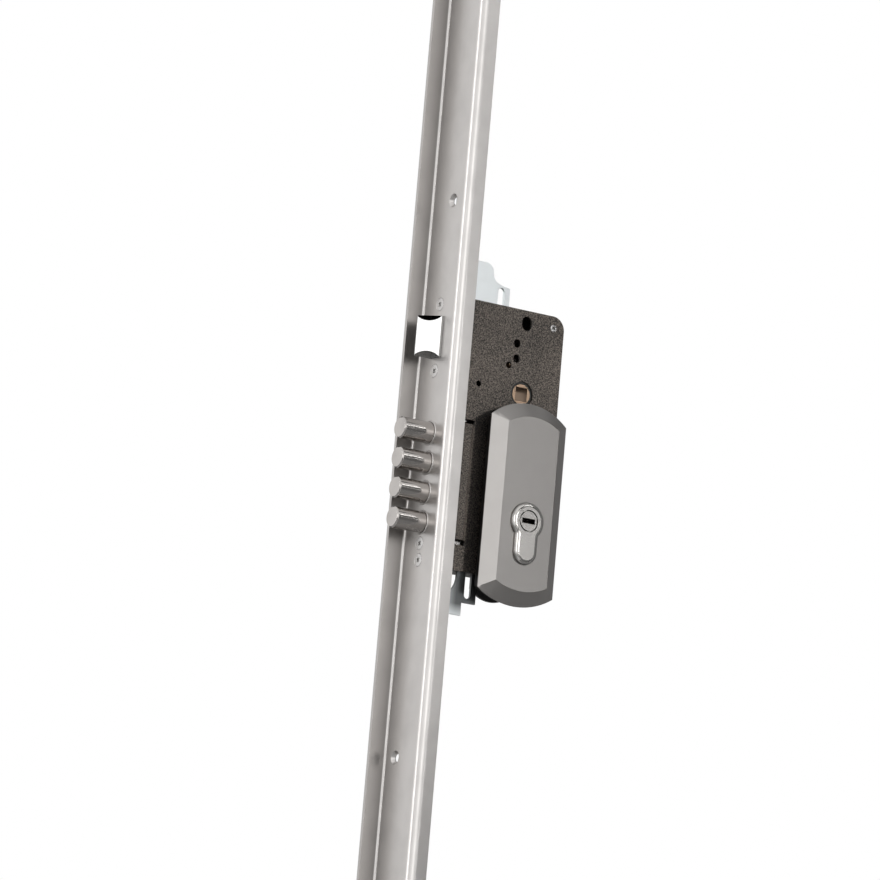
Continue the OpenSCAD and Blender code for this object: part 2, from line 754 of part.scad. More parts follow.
module drive_gear() {
    color([0.76, 0.66, 0.38]) translate([stud_x, 0, stud_z]) difference() {
        union() {
            along_y(wheel_lo, wheel_hi) gear_2d(wheel_teeth, stud_angle + 180 + 180 / wheel_teeth);
            along_y(carrier_lo, wheel_lo + eps) gear_2d(pinion_teeth, 90);
        }
        rod_along_y(0, 0, stud_d / 2 + run_gap, carrier_lo - 1, wheel_hi + 1);
        for (i = [0 : 4]) let (a = i * 72)
            rod_along_y(13 * cos(a), 13 * sin(a), 3.2, wheel_lo - 1, wheel_hi + 1);
    }
}

module gear_stud() {
    color([0.65, 0.65, 0.65]) rod_along_y(stud_x, stud_z, stud_d / 2, link_lo, half_w);
}

module gear_clip() {
    color([0.3, 0.3, 0.32]) difference() {
        rod_along_y(stud_x, stud_z, stud_d / 2 + 2, carrier_lo - 0.9, carrier_lo - layer_gap);
        rod_along_y(stud_x, stud_z, stud_d / 2, carrier_lo - 2, carrier_lo + 1);
    }
}

module upper_link() {
    low = up_pin[1] - drive_r - 1.5;
    left = guide_x_up - slot_r - 2.1;
    x = guide_x_up;
    z = case_top;
    color([0.8, 0.83, 0.85]) along_y(link_lo, link_hi) difference() {
        polygon([[left, low], [up_right, low], [up_right, z + 11.9], [x + 2.4, z + 12.6], [x - 1.4, z + 13.4],
                 [x - 3.9, z + 14.5], [x - 5.6, z + 16], [x - 6.5, z + 18], [x - 7.1, z + 21], [x - 7.9, z + 23.4],
                 [x - 9.6, up_top - 0.9], [x - 12, up_top], [link_left, up_top], [link_left, z - 0.5],
                 [left, z - 0.5]]);
        slot_2d([guide_x_up, guide_z_up - 3.5], [guide_x_up, up_slot_top - slot_r], slot_r);
        translate(up_pin) circle(r = drive_r - 1);
        for (z = up_holes) translate([rod_x, z]) circle(r = 1.5);
    }
}

module lower_link() {
    high = low_pin[1] + drive_r + 1;
    left = low_pin[0] - drive_r - 0.7;
    x = guide_x_low;
    z = -case_bottom;
    color([0.8, 0.83, 0.85]) along_y(link_lo, link_hi) difference() {
        polygon([[left, high], [low_right, high], [low_right, low_step], [x - 3.9, low_step],
                 [x - 3.9, low_bottom], [link_left, low_bottom], [link_left, rod_start_low + 0.3],
                 [low_notch + 0.2, rod_start_low + 0.3], [x - 12.2, z - 12.2], [x - 10.6, z - 9.6],
                 [x - 9.7, z - 7.7], [x - 9.1, z - 5], [x - 9, z - 2.3], [left, z + 2]]);
        slot_2d([guide_x_low, guide_z_low + 2], [guide_x_low, low_slot_bottom + slot_r], slot_r);
        translate(low_pin) circle(r = drive_r - 1);
        for (z = low_holes) translate([rod_x, z]) circle(r = 1.5);
    }
}

// Pin riveted into a link plate, which reaches into the slot of the carrier
module drive_pin(p) {
    color([0.7, 0.7, 0.7]) {
        rod_along_y(p[0], p[1], drive_r - 1, link_lo, link_hi + eps);
        rod_along_y(p[0], p[1], drive_r, link_hi, carrier_hi);
    }
}

module link_guide_rivets() {
    color([0.3, 0.3, 0.3]) for (p = [[guide_x_up, guide_z_up], [guide_x_low, guide_z_low]])
        rod_along_y(p[0], p[1], guide_rivet_d / 2, -inside, link_hi);
}

// Spacer block between a link plate and its rod, from z0 to z1
module coupling(z0, z1, holes) {
    color([0.6, 0.6, 0.6]) difference() {
        box([link_left, link_hi, z0], [rod_x + rod_w / 2 + 1, -rod_t / 2, z1]);
        for (z = holes) rod_along_y(rod_x, z, 1.5, link_lo, 1);
    }
}

module link_rivets(holes) {
    color([0.7, 0.7, 0.7]) for (z = holes) rod_along_y(rod_x, z, 1.5, link_lo, rod_t / 2);
}

module flat_rod(z0, z1, holes) {
    color([0.68, 0.68, 0.68]) difference() {
        box([rod_x - rod_w / 2, -rod_t / 2, z0], [rod_x + rod_w / 2, rod_t / 2, z1]);
        for (z = holes) rod_along_y(rod_x, z, 1.5, -rod_t, rod_t);
    }
}

// Shoot bolt that points up, with the end of its rod in a slot; rod_tip is where the rod ends
module shoot_bolt(rod_tip, tip) {
    r = shoot_d / 2;
    color([0.75, 0.75, 0.74]) difference() {
        translate([rod_x, 0, 0]) {
            translate([0, 0, rod_tip - 18]) cylinder(r = r, h = tip - rod_tip + 16);
            translate([0, 0, tip - 2]) cylinder(r1 = r, r2 = r - 2, h = 2);
        }
        box([rod_x - r - 1, -rod_t / 2, rod_tip - 19], [rod_x + r + 1, rod_t / 2, rod_tip]);
    }
}

// Staple that carries a rod behind the forend
module rod_guide(z) {
    wide = rod_t / 2 + slide_gap;
    deep = rod_x + rod_w / 2 + slide_gap;
    color([0.55, 0.55, 0.54]) translate([0, 0, z - 6]) linear_extrude(12) difference() {
        union() {
            rect([forend_t, -wide - 6], [forend_t + 2, wide + 6]);
            rect([forend_t, -wide - 2], [deep + 2, wide + 2]);
        }
        rect([rod_x - rod_w / 2 - slide_gap, -wide], [deep, wide]);
    }
}

// Block at a forend end that carries a shoot bolt, with its lower face at z
module end_guide(z) {
    half = end_screw_y() + 3.4;
    color([0.55, 0.55, 0.54]) difference() {
        box([forend_t, -half, z], [rod_x + shoot_d / 2 + 3, half, z + end_guide_h]);
        translate([rod_x, 0, z - 1]) cylinder(r = shoot_d / 2 + run_gap, h = end_guide_h + 2);
        for (s = [-1, 1]) rod_along_x(s * end_screw_y(), z + end_guide_h / 2, 2, forend_t - 1, forend_t + 9);
    }
}

module end_guide_screws() {
    color([0.75, 0.74, 0.72])
        for (z = [forend_top - end_guide_h / 2, -forend_bottom + end_guide_h / 2], s = [-1, 1])
            countersunk(s * end_screw_y(), z, 2, 3.6, 0, forend_t + 8);
}

module cylinder_body() {
    color([0.72, 0.7, 0.64]) difference() {
        along_y(-body_front, plug_back - 0.6) profile_2d(0);
        rod_along_y(backset, 0, plug_r + run_gap, -plug_front, plug_back + 1);
        box([0, -cam_gap / 2, -web_top], [2 * backset, cam_gap / 2, head_r + 1]);
        rod_along_x(0, -screw_drop, screw_r, 0, 2 * backset);
        driver_holes(2 * run_gap);
    }
}

driver_ys = [for (s = [-1, 1], i = [0 : 4]) s * (8 + i * 3.6)];
driver_r = 1.4;

module driver_holes(gap) {
    for (y = driver_ys) translate([backset, y, foot_z]) cylinder(r = driver_r + gap, h = -foot_z - plug_r + 2);
}

module driver_pins() {
    color([0.75, 0.65, 0.35]) for (y = driver_ys)
        translate([backset, y, foot_z]) cylinder(r = driver_r, h = -foot_z - plug_r - 0.2);
}

// Cam with the teeth that drive the wheel, on the ends of both plugs
module cylinder_cam() {
    color([0.7, 0.7, 0.68]) translate([backset, 0, 0]) difference() {
        along_y(-cam_gap / 2 + 0.2, cam_gap / 2 - 0.2) gear_2d(cam_teeth, stud_angle);
        rod_along_y(0, 0, 3, -cam_gap, cam_gap);
    }
}

// Plug with a blind key slot in its face; side is -1 for the outer plug and 1 for the inner one.
// The face has its own radius, and a shallow groove across it that leads the key in.
module plug(side, length, face_r) {
    tail = cam_gap / 2 + 0.1;
    face = body_front + 0.2;
    color([0.85, 0.84, 0.8]) scale([1, -side, 1]) translate([backset, 0, 0]) difference() {
        union() {
            rod_along_y(0, 0, plug_r, -face, -tail);
            rod_along_y(0, 0, face_r, -length, -face + eps);
            rod_along_y(0, 0, 3 - run_gap, -tail - eps, -0.2);
        }
        box([-key_w / 2, -length - 1, -key_h / 2], [key_w / 2, -tail - 3, key_h / 2]);
        box([-plug_d, -length - 1, -key_h / 2 - 0.1], [plug_d, 0.5 - length, key_h / 2 + 0.1]);
    }
}

// Outline of the escutcheon as an X-Z drawing, inset all round
module esc_2d(inset) {
    translate([backset, 0]) intersection() {
        rect([-esc_hw + inset, -far], [esc_hw - inset, far]);
        for (a = arches) translate([0, a[0]]) circle(r = a[1] - inset, $fn = 160);
    }
}

// One arched end of the escutcheon form, as a turned solid about its centre
module esc_arch(arch, inset, y_back) {
    r = arch[1] - inset;
    translate([backset, 0, arch[0]]) {
        rod_along_y(0, 0, r, esc_rim_y + inset / 2, y_back);
        translate([0, esc_rim_y + inset / 2, 0]) rotate([90, 0, 0])
            cylinder(r1 = r, r2 = r - esc_chamfer_w, h = esc_chamfer_h, $fn = 160);
    }
}

// Solid form of the escutcheon, or of its hollow when inset is the wall
module esc_form(inset, y_back) {
    rim = esc_rim_y + inset / 2;
    half = esc_hw - inset;
    face = rim - esc_chamfer_h;
    intersection() {
        translate([backset, 0, -far]) linear_extrude(2 * far)
            polygon([[-half, y_back], [half, y_back], [half, rim], [half - esc_chamfer_w, face],
                     [-half + esc_chamfer_w, face], [-half, rim]]);
        for (a = arches) esc_arch(a, inset, y_back);
    }
}

module escutcheon() {
    color([0.6, 0.59, 0.58]) difference() {
        esc_form(0, esc_back);
        difference() {
            esc_form(esc_wall, esc_back + 1);
            along_y(esc_face, esc_back + 2) profile_2d(protector_rim + 2);
        }
        along_y(esc_face - 1, esc_back + 1) profile_2d(protector_rim + slide_gap);
    }
}

module backing_plate() {
    color([0.06, 0.06, 0.06]) along_y(esc_back, esc_back + backing_t) difference() {
        esc_2d(2);
        profile_2d(profile_gap);
        for (z = [post_top, -post_bottom]) translate([backset, z]) circle(r = screw_r);
    }
}

// Section of the protector from its middle out to its curved edge, for turning or extruding
module protector_section(r, h) {
    polygon(concat([[0, 0], [r, 0]],
        [for (i = [0 : 6]) let (a = i * 15)
            [r - protector_slope * (1 - cos(a)), h - protector_slope_h * (1 - sin(a))]],
        [[0, h]]));
}

// Protector that is widest at the escutcheon and curves in to a smaller flat face
module cylinder_protector() {
    h = plug_front + esc_back;
    wide = foot_r + protector_rim;
    color([0.82, 0.81, 0.79]) difference() {
        translate([backset, esc_back, 0]) rotate([90, 0, 0]) {
            rotate_extrude() protector_section(head_r + protector_rim, h);
            translate([0, foot_z, 0]) rotate_extrude() protector_section(wide, h);
            rotate([90, 0, 0]) linear_extrude(-foot_z) {
                protector_section(wide, h);
                mirror([1, 0]) protector_section(wide, h);
            }
        }
        along_y(-body_front - 0.2, esc_back + 1) profile_2d(profile_gap / 2);
        rod_along_y(backset, 0, plug_face_d / 2 + plug_ring, -plug_front - 1, esc_back);
    }
}

module escutcheon_posts() {
    y0 = esc_back + backing_t;
    color([0.35, 0.35, 0.36]) difference() {
        union() {
            rod_along_y(backset, post_top, post_r, y0, -half_w);
            rod_along_y(backset, -post_bottom, post_r, y0, half_w);
        }
        for (z = [post_top, -post_bottom]) rod_along_y(backset, z, screw_r, y0 - 1, half_w + 1);
    }
}

// Arched plate on the far side of the case, which the screws clamp against
module clamp_plate() {
    color([0.12, 0.12, 0.12]) difference() {
        along_y(half_w, half_w + clamp_t) translate([backset, 0]) intersection() {
            rect([-clamp_w / 2, -far], [clamp_w / 2, far]);
            union() {
                for (z = [clamp_low + clamp_arch, clamp_top - clamp_arch]) translate([0, z]) circle(r = clamp_arch);
                rect([-clamp_w / 2, clamp_low + clamp_arch], [clamp_w / 2, clamp_top - clamp_arch]);
            }
        }
        along_y(half_w - 1, half_w + clamp_t + 1) profile_2d(profile_gap);
        for (z = [post_top, -post_bottom]) rod_along_y(backset, z, screw_r, half_w - 1, half_w + clamp_t + 1);
    }
}

module clamp_screws() {
    y1 = half_w + clamp_t;
    color([0.7, 0.7, 0.7]) for (z = [post_top, -post_bottom]) difference() {
        union() {
            rod_along_y(backset, z, screw_r, esc_back + 1, y1 + eps);
            rod_along_y(backset, z, screw_head_r, y1, y1 + 2.8);
        }
        rod_along_y(backset, z, 1.8, y1 + 1.2, y1 + 4, $fn = 6);
    }
}

up_holes = [rod_start_up + 3, rod_start_up + 9];
low_holes = [rod_start_low - 3, rod_start_low - 9];
up_tip = forend_top - rod_end;
low_tip = forend_bottom - rod_end;

forend();
forend_screws();
case_body();
case_cover();
case_rivets();
deadbolt(bolt_zs[0]);  // deadbolt_1
deadbolt(bolt_zs[1]);  // deadbolt_2
deadbolt(bolt_zs[2]);  // deadbolt_3
deadbolt(bolt_zs[3]);  // deadbolt_4
bolt_carrier();
carrier_rivets();
carrier_guide_pin();
latch_head();
latch_tail();
latch_spring();
latch_guide();
follower();
follower_bushes();
drive_gear();
gear_stud();
gear_clip();
upper_link();
lower_link();
drive_pin(up_pin);  // upper_drive_pin
drive_pin(low_pin);  // lower_drive_pin
link_guide_rivets();
coupling(rod_start_up, up_top, up_holes);  // upper_coupling
coupling(low_bottom, rod_start_low, low_holes);  // lower_coupling
link_rivets(up_holes);  // upper_rivets
link_rivets(low_holes);  // lower_rivets
flat_rod(rod_start_up, up_tip, up_holes);  // upper_rod
flat_rod(-low_tip, rod_start_low, low_holes);  // lower_rod
shoot_bolt(up_tip, forend_top + shoot_out);  // upper_shoot_bolt
mirror([0, 0, 1]) shoot_bolt(low_tip, forend_bottom + shoot_out);  // lower_shoot_bolt
rod_guide(guide_zs[0]);  // rod_guide_1
rod_guide(guide_zs[1]);  // rod_guide_2
rod_guide(guide_zs[2]);  // rod_guide_3
rod_guide(guide_zs[3]);  // rod_guide_4
end_guide(forend_top - end_guide_h);  // upper_end_guide
end_guide(-forend_bottom);  // lower_end_guide
end_guide_screws();
cylinder_body();
cylinder_cam();
plug(-1, plug_front, plug_face_d / 2);  // outer_plug
plug(1, plug_back, plug_r);  // inner_plug
driver_pins();
cylinder_screw();
escutcheon();
backing_plate();
cylinder_protector();
escutcheon_posts();
clamp_plate();
clamp_screws();
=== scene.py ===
"""Studio scene of a multipoint door lock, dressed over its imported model.

Everything is in metres in the frame of the model: X = 0 is the front face of the forend and +X goes into
the door, Y = 0 is the middle plane of the case and +Y goes to the inside of the door, Z = 0 is the
cylinder axis and +Z is up.
"""
import json
import logging
import math
from dataclasses import dataclass, field
from enum import Enum
from typing import Callable

import bpy
from mathutils import Matrix, Vector


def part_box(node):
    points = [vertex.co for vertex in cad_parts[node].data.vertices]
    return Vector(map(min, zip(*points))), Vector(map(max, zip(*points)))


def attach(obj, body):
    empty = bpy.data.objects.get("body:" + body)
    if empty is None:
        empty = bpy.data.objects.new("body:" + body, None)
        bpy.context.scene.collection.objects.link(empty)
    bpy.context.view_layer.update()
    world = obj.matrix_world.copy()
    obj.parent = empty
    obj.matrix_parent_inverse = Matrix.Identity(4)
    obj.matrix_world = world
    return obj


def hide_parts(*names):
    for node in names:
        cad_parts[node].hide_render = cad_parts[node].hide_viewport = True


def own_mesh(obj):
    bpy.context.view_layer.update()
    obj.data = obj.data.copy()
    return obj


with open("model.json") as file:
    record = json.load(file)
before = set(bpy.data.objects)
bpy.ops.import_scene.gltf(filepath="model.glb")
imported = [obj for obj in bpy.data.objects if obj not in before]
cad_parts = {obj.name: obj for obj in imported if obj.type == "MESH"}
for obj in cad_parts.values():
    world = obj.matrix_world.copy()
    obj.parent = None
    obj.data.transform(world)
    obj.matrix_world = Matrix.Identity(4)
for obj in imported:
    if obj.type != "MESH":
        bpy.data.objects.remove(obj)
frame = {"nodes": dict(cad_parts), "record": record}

Color = tuple[float, float, float]
Point = tuple[float, float, float]
Socket = bpy.types.NodeSocket

LOG = logging.getLogger("door_lock")
MM = 0.001
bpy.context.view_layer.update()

# Lengths in metres and angles in degrees, and the camera's sensor in millimetres
EDGE_SEGMENTS = 2
FLAT_FACE_WEIGHT = 100
MERGE_DISTANCE = 2e-6
SAME_PLACE = 1e-5
FLAT_ANGLE = 0.6
EDGE_ANGLE = 32.0
ROUND_FORM_ANGLE = 60.0
PLAIN_EDGE = 0.12 * MM
GRAIN_DEPTH = 0.1 * MM
BAR_SIDES = 96
SENSOR_WIDTH = 36.0
# Spreads of roughness from the cleanest to the most worn place of a metal
FULL_WEAR = 1.6
BLACK = (0.0, 0.0, 0.0, 1.0)
WHITE = (1.0, 1.0, 1.0, 1.0)


class Slot(Enum):
    """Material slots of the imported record."""

    FOREND = "forend_steel"
    CASE = "case_paint"
    BOLT = "bolt_steel"
    LATCH = "latch_chrome"
    ZINC = "zinc_plate"
    COPPER = "follower_copper"
    NYLON = "black_nylon"
    STEEL = "bright_steel"
    BRASS = "gear_brass"
    NICKEL = "nickel"
    ESCUTCHEON = "escutcheon_satin"
    DARK = "dark_metal"


class Sheen(Enum):
    """How a metal has been finished, as its roughness."""

    POLISHED = 0.12
    BRIGHT = 0.22
    BRUSHED = 0.32
    SATIN = 0.34


# Tools


def deselect_everything() -> None:
    """Leaves no object selected."""
    if bpy.context.object and bpy.context.object.mode != "OBJECT":
        bpy.ops.object.mode_set(mode="OBJECT")
    bpy.ops.object.select_all(action="DESELECT")


def take(obj: bpy.types.Object) -> None:
    """Selects one object and makes it the active one.

    Args:
        obj: The object.
    """
    deselect_everything()
    obj.select_set(True)
    bpy.context.view_layer.objects.active = obj


def settle(obj: bpy.types.Object) -> None:
    """Puts an object's place, turn and size into its mesh."""
    take(obj)
    bpy.ops.object.transform_apply(location=True, rotation=True, scale=True)


def bevel_edges(obj: bpy.types.Object, width: float, angle: float) -> None:
    """Rounds the sharp edges of an object.

    Args:
        obj: The object to finish.
        width: Width of the rounding in metres.
        angle: Edges sharper than this many degrees are rounded.
    """
    take(obj)
    mod = obj.modifiers.new("edge", "BEVEL")
    mod.width = width
    mod.segments = EDGE_SEGMENTS
    mod.limit_method = "ANGLE"
    mod.angle_limit = math.radians(angle)
    mod.use_clamp_overlap = True
    mod.miter_outer = "MITER_ARC"
    bpy.ops.object.modifier_apply(modifier=mod.name)


def smooth(obj: bpy.types.Object, angle: float) -> None:
    """Shades an object smooth except across edges sharper than the angle in degrees."""
    take(obj)
    bpy.ops.object.shade_smooth_by_angle(angle=math.radians(angle))


def even_normals(obj: bpy.types.Object) -> None:
    """Lets large flat faces set the shading, and narrow rounded edges follow.

    Args:
        obj: The object to finish.
    """
    take(obj)
    mod = obj.modifiers.new("even", "WEIGHTED_NORMAL")
    mod.keep_sharp = True
    mod.weight = FLAT_FACE_WEIGHT
    bpy.ops.object.modifier_apply(modifier=mod.name)


def cut(obj: bpy.types.Object, tool: bpy.types.Object) -> None:
    """Cuts a solid out of an object.

    Args:
        obj: The object that is changed.
        tool: The solid that is used up.
    """
    take(obj)
    mod = obj.modifiers.new("cut", "BOOLEAN")
    mod.object = tool
    mod.operation = "DIFFERENCE"
    mod.solver = "EXACT"
    bpy.ops.object.modifier_apply(modifier=mod.name)
    bpy.data.objects.remove(tool, do_unlink=True)


def round_bar(name: str, x: float, z: float, radius: float, y0: float, y1: float) -> bpy.types.Object:
    """Adds a round solid that lies along Y.

    Args:
        name: Name of the object.
        x: Place of its axis.
        z: Place of its axis.
        radius: Its radius.
        y0: Its near end.
        y1: Its far end.

    Returns:
        The solid, with its place in its mesh.
    """
    deselect_everything()
    bpy.ops.mesh.primitive_cylinder_add(vertices=BAR_SIDES, radius=radius, depth=y1 - y0,
                                        location=(x, (y0 + y1) / 2, z), rotation=(math.radians(90), 0, 0))
    made = bpy.context.object
    made.name = name
    settle(made)
    return made


def pick_edges(obj: bpy.types.Object, test: Callable[[Vector, Vector], bool]) -> None:
    """Selects the edges of an object whose two ends pass a test, and goes to edit mode.

    Args:
        obj: The object.
        test: Takes the two ends of an edge.
    """
    take(obj)
    bpy.ops.object.mode_set(mode="EDIT")
    bpy.ops.mesh.select_mode(type="EDGE")
    bpy.ops.mesh.select_all(action="DESELECT")
    bpy.ops.object.mode_set(mode="OBJECT")
    mesh = obj.data
    for edge in mesh.edges:
        a, b = (mesh.vertices[i].co for i in edge.vertices)
        edge.select = bool(test(a, b))
    bpy.ops.object.mode_set(mode="EDIT")


def merged_copy(node: str, name: str) -> bpy.types.Object:
    """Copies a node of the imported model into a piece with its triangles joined.

    Args:
        node: Name of the node.
        name: Name of the new piece.

    Returns:
        The new piece, which stands for the node.
    """
    source = frame["nodes"][node]
    mesh = source.data.copy()
    mesh.materials.clear()
    obj = bpy.data.objects.new(name, mesh)
    bpy.context.scene.collection.objects.link(obj)
    take(obj)
    bpy.ops.object.mode_set(mode="EDIT")
    bpy.ops.mesh.select_all(action="SELECT")
    bpy.ops.mesh.remove_doubles(threshold=MERGE_DISTANCE)
    bpy.ops.mesh.dissolve_limited(angle_limit=math.radians(FLAT_ANGLE))
    bpy.ops.object.mode_set(mode="OBJECT")
    return obj


def new_material(name: str) -> tuple[bpy.types.Material, bpy.types.Node]:
    """Makes a material.

    Args:
        name: Its name.

    Returns:
        The material and its surface shader.
    """
    mat = bpy.data.materials.new(name)
    mat.use_nodes = True
    return mat, mat.node_tree.nodes["Principled BSDF"]


def paint(obj: bpy.types.Object, material: bpy.types.Material) -> None:
    """Gives an object one material."""
    obj.data.materials.clear()
    obj.data.materials.append(material)


def add_piece(obj: bpy.types.Object, body: str, slot: Slot, *nodes: str) -> None:
    """Hangs a finished piece on its body and hides the nodes that it stands for.

    Args:
        obj: The piece.
        body: The body that it rides on.
        slot: Not used.
        *nodes: The nodes that it stands for.
    """
    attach(obj, body)
    if nodes:
        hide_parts(*nodes)
    LOG.info("%s rides on %s", obj.name, body)


# Shader groups


class ShaderGraph:
    """A small helper that places and links shader nodes."""

    def __init__(self, tree: bpy.types.NodeTree) -> None:
        """Keeps the node tree."""
        self.tree = tree

    def add(self, kind: str, **values: object) -> bpy.types.Node:
        """Places a node.

        Args:
            kind: Type of the node.
            **values: Its properties.

        Returns:
            The node.
        """
        made = self.tree.nodes.new(kind)
        for key, value in values.items():
            setattr(made, key, value)
        return made

    def link(self, start: Socket, end: Socket) -> None:
        """Links two sockets."""
        self.tree.links.new(start, end)

    def noise(self, vector: Socket, scale: float, detail: float, rough: float = 0.5) -> Socket:
        """Places a noise texture.

        Args:
            vector: Where it is looked up.
            scale: Its scale.
            detail: Its number of finer layers.
            rough: How much the finer layers count.

        Returns:
            Its value.
        """
        tex = self.add("ShaderNodeTexNoise")
        tex.inputs["Scale"].default_value = scale
        tex.inputs["Detail"].default_value = detail
        tex.inputs["Roughness"].default_value = rough
        self.link(vector, tex.inputs["Vector"])
        return tex.outputs["Fac"]

    def mapped(self, stretch: Point) -> Socket:
        """Scales the object coordinates along each axis.

        Args:
            stretch: The three scales.

        Returns:
            The scaled coordinates.
        """
        coord = self.add("ShaderNodeTexCoord")
        mapping = self.add("ShaderNodeMapping")
        mapping.inputs["Scale"].default_value = stretch
        self.link(coord.outputs["Object"], mapping.inputs["Vector"])
        return mapping.outputs["Vector"]

    def along(self, axis: str) -> Socket:
        """Picks one object coordinate.

        Args:
            axis: X, Y or Z.

        Returns:
            The coordinate.
        """
        coord = self.add("ShaderNodeTexCoord")
        axes = self.add("ShaderNodeSeparateXYZ")
        self.link(coord.outputs["Object"], axes.inputs["Vector"])
        return axes.outputs[axis]

    def math(self, operation: str, a: Socket | float, b: Socket | float) -> Socket:
        """Places a math node.

        Args:
            operation: What it does.
            a: Its first socket or number.
            b: Its second socket or number.

        Returns:
            Its result.
        """
        made = self.add("ShaderNodeMath", operation=operation)
        for index, value in enumerate((a, b)):
            if isinstance(value, Socket):
                self.link(value, made.inputs[index])
            else:
                made.inputs[index].default_value = float(value)
        return made.outputs["Value"]

    def ramp(self, value: Socket, low: float, high: float,
             to_low: float = 0.0, to_high: float = 1.0) -> Socket:
        """Maps a value from one range to another, clamped.

        Args:
            value: The value.
            low: Where the range starts.
            high: Where the range ends.
            to_low: What low becomes.
            to_high: What high becomes.

        Returns:
            The mapped value.
        """
        made = self.add("ShaderNodeMapRange", clamp=True)
        ends = {"From Min": low, "From Max": high, "To Min": to_low, "To Max": to_high}
        for key, number in ends.items():
            made.inputs[key].default_value = number
        self.link(value, made.inputs["Value"])
        return made.outputs["Result"]

    def mix(self, factor: Socket, a: Socket | Color, b: Socket | Color) -> Socket:
        """Mixes two colours.

        Args:
            factor: The share of the second colour.
            a: The first socket or colour.
            b: The second socket or colour.

        Returns:
            The mixed colour.
        """
        made = self.add("ShaderNodeMix", data_type="RGBA")
        self.link(factor, made.inputs[0])
        for index, value in ((6, a), (7, b)):
            if isinstance(value, Socket):
                self.link(value, made.inputs[index])
            else:
                made.inputs[index].default_value = (*value, 1.0)
        return made.outputs[2]


class SurfaceGroups:
    """Node groups that several finishes share, each built once."""

    _made: dict[str, bpy.types.NodeTree] = {}

    @classmethod
    def grain(cls) -> bpy.types.NodeTree:
        """Fine lines left by brushing or turning, as a height and a mask.

        Returns:
            A group with the input Vector and the outputs Height and Mask.
        """
        if "grain" in cls._made:
            return cls._made["grain"]
        tree = bpy.data.node_groups.new("brushed_grain", "ShaderNodeTree")
        tree.interface.new_socket("Vector", in_out="INPUT", socket_type="NodeSocketVector")
        tree.interface.new_socket("Height", in_out="OUTPUT", socket_type="NodeSocketFloat")
        tree.interface.new_socket("Mask", in_out="OUTPUT", socket_type="NodeSocketFloat")
        graph = ShaderGraph(tree)
        start = graph.add("NodeGroupInput")
        end = graph.add("NodeGroupOutput")
        fine = graph.noise(start.outputs["Vector"], scale=1.0, detail=3.0, rough=0.7)
        coarse = graph.noise(start.outputs["Vector"], scale=0.31, detail=2.0)
        height = graph.math("ADD", fine, graph.math("MULTIPLY", coarse, 0.6))
        graph.link(height, end.inputs["Height"])
        graph.link(graph.ramp(coarse, low=0.35, high=0.65), end.inputs["Mask"])
        cls._made["grain"] = tree
        return tree

    @classmethod
    def smudge(cls) -> bpy.types.NodeTree:
        """Soft patches of handling and storage dust, as a mask.

        Returns:
            A group with the input Scale and the output Mask.
        """
        if "smudge" in cls._made:
            return cls._made["smudge"]
        tree = bpy.data.node_groups.new("handling_smudge", "ShaderNodeTree")
        tree.interface.new_socket("Scale", in_out="INPUT", socket_type="NodeSocketFloat")
        tree.interface.new_socket("Mask", in_out="OUTPUT", socket_type="NodeSocketFloat")
        graph = ShaderGraph(tree)
        start = graph.add("NodeGroupInput")
        end = graph.add("NodeGroupOutput")
        coord = graph.add("ShaderNodeTexCoord")
        tex = graph.add("ShaderNodeTexNoise")
        tex.inputs["Detail"].default_value = 4.0
        graph.link(start.outputs["Scale"], tex.inputs["Scale"])
        graph.link(coord.outputs["Object"], tex.inputs["Vector"])
        graph.link(graph.ramp(tex.outputs["Fac"], low=0.42, high=0.68), end.inputs["Mask"])
        cls._made["smudge"] = tree
        return tree


# Finishes


def darker(color: Color, share: float) -> Color:
    """Takes a share of the light out of a colour."""
    return tuple(c * (1.0 - share) for c in color)


